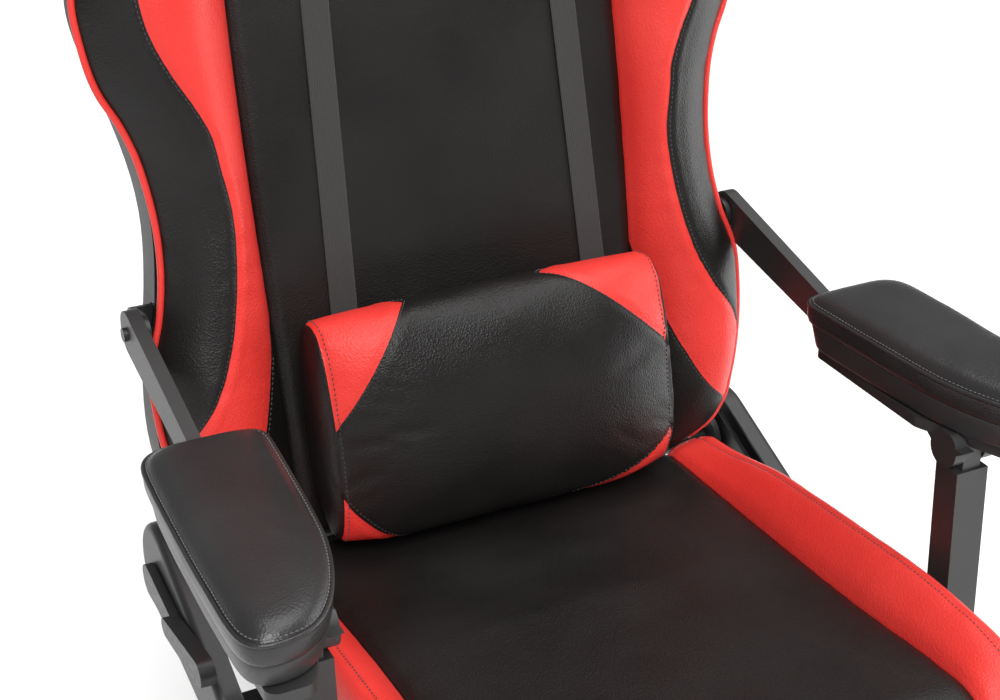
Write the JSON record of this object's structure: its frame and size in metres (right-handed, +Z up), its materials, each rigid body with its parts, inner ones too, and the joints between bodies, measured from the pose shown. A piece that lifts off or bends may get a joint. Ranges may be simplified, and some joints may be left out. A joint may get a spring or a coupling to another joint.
{
  "type": "gaming chair",
  "caption": "Racing-style swivel chair with winged seat and back, lumbar and neck pillows, linkage armrests, gas lift and star base on casters.",
  "frame": {"origin": "on the floor, on the axis of the gas lift", "axes": "+Z up, the sitter faces -Y, +X is the sitter's left"},
  "size_m": [0.702, 0.8485, 1.2642],
  "materials": {
    "nylon_black": "matte",
    "arm_plastic": "matte",
    "wheel_nylon": "satin",
    "painted_steel": "satin",
    "bright_steel": "satin",
    "chromed_steel": "polished",
    "plywood": "matte",
    "black_leatherette": "satin",
    "red_leatherette": "satin",
    "webbing": "matte"
  },
  "bodies": {
    "base": {"star_base": "nylon_black", "caster_stems": "bright_steel", "column_tube": "painted_steel", "guide_bush": "nylon_black", "thrust_bearing": "bright_steel", "cover_lower": "nylon_black"},
    "rod": {"piston_rod": "bright_steel", "rod_clip": "bright_steel"},
    "cover": {"cover_middle": "nylon_black"},
    "column": {"inner_cylinder": "chromed_steel", "cover_upper": "nylon_black", "mechanism_housing": "painted_steel", "tension_spring": "bright_steel"},
    "valve": {"release_button": "bright_steel"},
    "height_lever": {"lift_lever": "painted_steel"},
    "lock_lever": {"tilt_lever": "painted_steel"},
    "knob": {"tension_knob": "nylon_black"},
    "seat": {"tilt_pin": "bright_steel", "seat_plate": "painted_steel", "seat_bolts": "bright_steel", "seat_pan": "plywood", "seat_cushion": "black_leatherette", "seat_wing_left": "red_leatherette", "seat_wing_right": "red_leatherette", "post_brackets": "painted_steel", "recliner_plates": "painted_steel", "side_covers": "nylon_black"},
    "recliner_handle": {"recline_lever": "painted_steel"},
    "back": {"back_frame": "painted_steel", "recline_tube": "painted_steel", "back_cushion": "black_leatherette", "back_bolster_left": "red_leatherette", "back_bolster_right": "red_leatherette", "back_shell": "black_leatherette", "slot_trims": "nylon_black", "arm_lugs": "painted_steel", "lumbar_straps": "webbing"},
    "lumbar": {"lumbar_pillow": "black_leatherette"},
    "neck": {"head_pillow": "black_leatherette"},
    "arm_left": {"arm_frame_left": "arm_plastic", "arm_pad_left": "black_leatherette"},
    "post_left": {"arm_post_left": "arm_plastic"},
    "arm_right": {"arm_frame_right": "arm_plastic", "arm_pad_right": "black_leatherette"},
    "post_right": {"arm_post_right": "arm_plastic"},
    "caster_1": {"caster_housing_1": "nylon_black"},
    "wheel_1a": {"caster_wheel_1a": "wheel_nylon"},
    "wheel_1b": {"caster_wheel_1b": "wheel_nylon"},
    "caster_2": {"caster_housing_2": "nylon_black"},
    "wheel_2a": {"caster_wheel_2a": "wheel_nylon"},
    "wheel_2b": {"caster_wheel_2b": "wheel_nylon"},
    "caster_3": {"caster_housing_3": "nylon_black"},
    "wheel_3a": {"caster_wheel_3a": "wheel_nylon"},
    "wheel_3b": {"caster_wheel_3b": "wheel_nylon"},
    "caster_4": {"caster_housing_4": "nylon_black"},
    "wheel_4a": {"caster_wheel_4a": "wheel_nylon"},
    "wheel_4b": {"caster_wheel_4b": "wheel_nylon"},
    "caster_5": {"caster_housing_5": "nylon_black"},
    "wheel_5a": {"caster_wheel_5a": "wheel_nylon"},
    "wheel_5b": {"caster_wheel_5b": "wheel_nylon"}
  },
  "joints": [
    {"name": "seat_swivel", "type": "hinge", "parent": "base", "child": "rod", "pos_m": [0, 0, 0.074], "axis": [0, 0, 1], "continuous": true},
    {"name": "seat_height", "type": "slide", "parent": "rod", "child": "column", "axis": [0, 0, 1], "range_m": [-0.02, 0.06]},
    {"name": "cover_slide", "type": "slide", "parent": "base", "child": "cover", "axis": [0, 0, 1], "range_m": [-0.01, 0.03]},
    {"name": "height_lever_lift", "type": "hinge", "parent": "column", "child": "height_lever", "pos_m": [-0.048, 0, 0.3406], "axis": [0, 1, 0], "range_deg": [0, 2.5], "stiffness_Nm_per_rad": 8, "springref_deg": -5.73},
    {"name": "valve_press", "type": "slide", "parent": "column", "child": "valve", "axis": [0, 0, 1], "range_m": [-0.0045, 0]},
    {"name": "tilt_lock_pull", "type": "slide", "parent": "column", "child": "lock_lever", "axis": [1, 0, 0], "range_m": [0, 0.01]},
    {"name": "tension_turn", "type": "hinge", "parent": "column", "child": "knob", "pos_m": [0, -0.062, 0.3], "axis": [0, 0, 1], "continuous": true},
    {"name": "seat_tilt", "type": "hinge", "parent": "column", "child": "seat", "pos_m": [0, -0.098, 0.3611], "axis": [-1, 0, 0], "range_deg": [0, 10], "stiffness_Nm_per_rad": 180, "springref_deg": -20.05, "deforming": ["tension_spring"]},
    {"name": "recline", "type": "hinge", "parent": "seat", "child": "back", "pos_m": [0, 0.27931, 0.42439], "axis": [-1, 0, 0], "range_deg": [-4, 45]},
    {"name": "recline_lever_pull", "type": "hinge", "parent": "seat", "child": "recliner_handle", "pos_m": [-0.3054, 0.27931, 0.42439], "axis": [-1, 0, 0], "range_deg": [0, 25], "stiffness_Nm_per_rad": 1.5, "springref_deg": -17.19},
    {"name": "lumbar_slide", "type": "slide", "parent": "back", "child": "lumbar", "axis": [0, 0.2222, 0.975], "range_m": [0, 0.12]},
    {"name": "neck_slide", "type": "slide", "parent": "back", "child": "neck", "axis": [0, 0.2222, 0.975], "range_m": [-0.04, 0.01]},
    {"name": "arm_left_level", "type": "hinge", "parent": "back", "child": "arm_left", "pos_m": [0.298, 0.29492, 0.66391], "axis": [1, 0, 0], "range_deg": [-4, 45]},
    {"name": "post_left_swing", "type": "hinge", "parent": "seat", "child": "post_left", "pos_m": [0.29, -0.09562, 0.36248], "axis": [-1, 0, 0], "range_deg": [-4, 45]},
    {"name": "arm_right_level", "type": "hinge", "parent": "back", "child": "arm_right", "pos_m": [-0.298, 0.29492, 0.66391], "axis": [1, 0, 0], "range_deg": [-4, 45]},
    {"name": "post_right_swing", "type": "hinge", "parent": "seat", "child": "post_right", "pos_m": [-0.29, -0.09562, 0.36248], "axis": [-1, 0, 0], "range_deg": [-4, 45]},
    {"name": "caster_swivel_1", "type": "hinge", "parent": "base", "child": "caster_1", "pos_m": [0, -0.3, 0.072], "axis": [0, 0, 1], "continuous": true},
    {"name": "wheel_roll_1a", "type": "hinge", "parent": "caster_1", "child": "wheel_1a", "pos_m": [0.00616, -0.31691, 0.03], "axis": [0.9397, 0.342, 0], "continuous": true},
    {"name": "wheel_roll_1b", "type": "hinge", "parent": "caster_1", "child": "wheel_1b", "pos_m": [0.00616, -0.31691, 0.03], "axis": [0.9397, 0.342, 0], "continuous": true},
    {"name": "caster_swivel_2", "type": "hinge", "parent": "base", "child": "caster_2", "pos_m": [0.28532, -0.09271, 0.072], "axis": [0, 0, 1], "continuous": true},
    {"name": "wheel_roll_2a", "type": "hinge", "parent": "caster_2", "child": "wheel_2a", "pos_m": [0.30331, -0.09208, 0.03], "axis": [-0.0349, 0.9994, 0], "continuous": true},
    {"name": "wheel_roll_2b", "type": "hinge", "parent": "caster_2", "child": "wheel_2b", "pos_m": [0.30331, -0.09208, 0.03], "axis": [-0.0349, 0.9994, 0], "continuous": true},
    {"name": "caster_swivel_3", "type": "hinge", "parent": "base", "child": "caster_3", "pos_m": [0.17634, 0.24271, 0.072], "axis": [0, 0, 1], "continuous": true},
    {"name": "wheel_roll_3a", "type": "hinge", "parent": "caster_3", "child": "wheel_3a", "pos_m": [0.1813, 0.26001, 0.03], "axis": [-0.9613, 0.2756, 0], "continuous": true},
    {"name": "wheel_roll_3b", "type": "hinge", "parent": "caster_3", "child": "wheel_3b", "pos_m": [0.1813, 0.26001, 0.03], "axis": [-0.9613, 0.2756, 0], "continuous": true},
    {"name": "caster_swivel_4", "type": "hinge", "parent": "base", "child": "caster_4", "pos_m": [-0.17634, 0.24271, 0.072], "axis": [0, 0, 1], "continuous": true},
    {"name": "wheel_roll_4a", "type": "hinge", "parent": "caster_4", "child": "wheel_4a", "pos_m": [-0.19126, 0.25277, 0.03], "axis": [-0.5592, -0.829, 0], "continuous": true},
    {"name": "wheel_roll_4b", "type": "hinge", "parent": "caster_4", "child": "wheel_4b", "pos_m": [-0.19126, 0.25277, 0.03], "axis": [-0.5592, -0.829, 0], "continuous": true},
    {"name": "caster_swivel_5", "type": "hinge", "parent": "base", "child": "caster_5", "pos_m": [-0.28532, -0.09271, 0.072], "axis": [0, 0, 1], "continuous": true},
    {"name": "wheel_roll_5a", "type": "hinge", "parent": "caster_5", "child": "wheel_5a", "pos_m": [-0.2995, -0.10379, 0.03], "axis": [0.6157, -0.788, 0], "continuous": true},
    {"name": "wheel_roll_5b", "type": "hinge", "parent": "caster_5", "child": "wheel_5b", "pos_m": [-0.2995, -0.10379, 0.03], "axis": [0.6157, -0.788, 0], "continuous": true}
  ],
  "couplings": [
    {"joint": "cover_slide", "follows": "seat_height", "ratio": 0.5},
    {"joint": "valve_press", "follows": "height_lever_lift", "m_per_rad": -0.048},
    {"joint": "arm_left_level", "follows": "recline", "ratio": 1},
    {"joint": "post_left_swing", "follows": "recline", "ratio": 1},
    {"joint": "arm_right_level", "follows": "recline", "ratio": 1},
    {"joint": "post_right_swing", "follows": "recline", "ratio": 1}
  ]
}
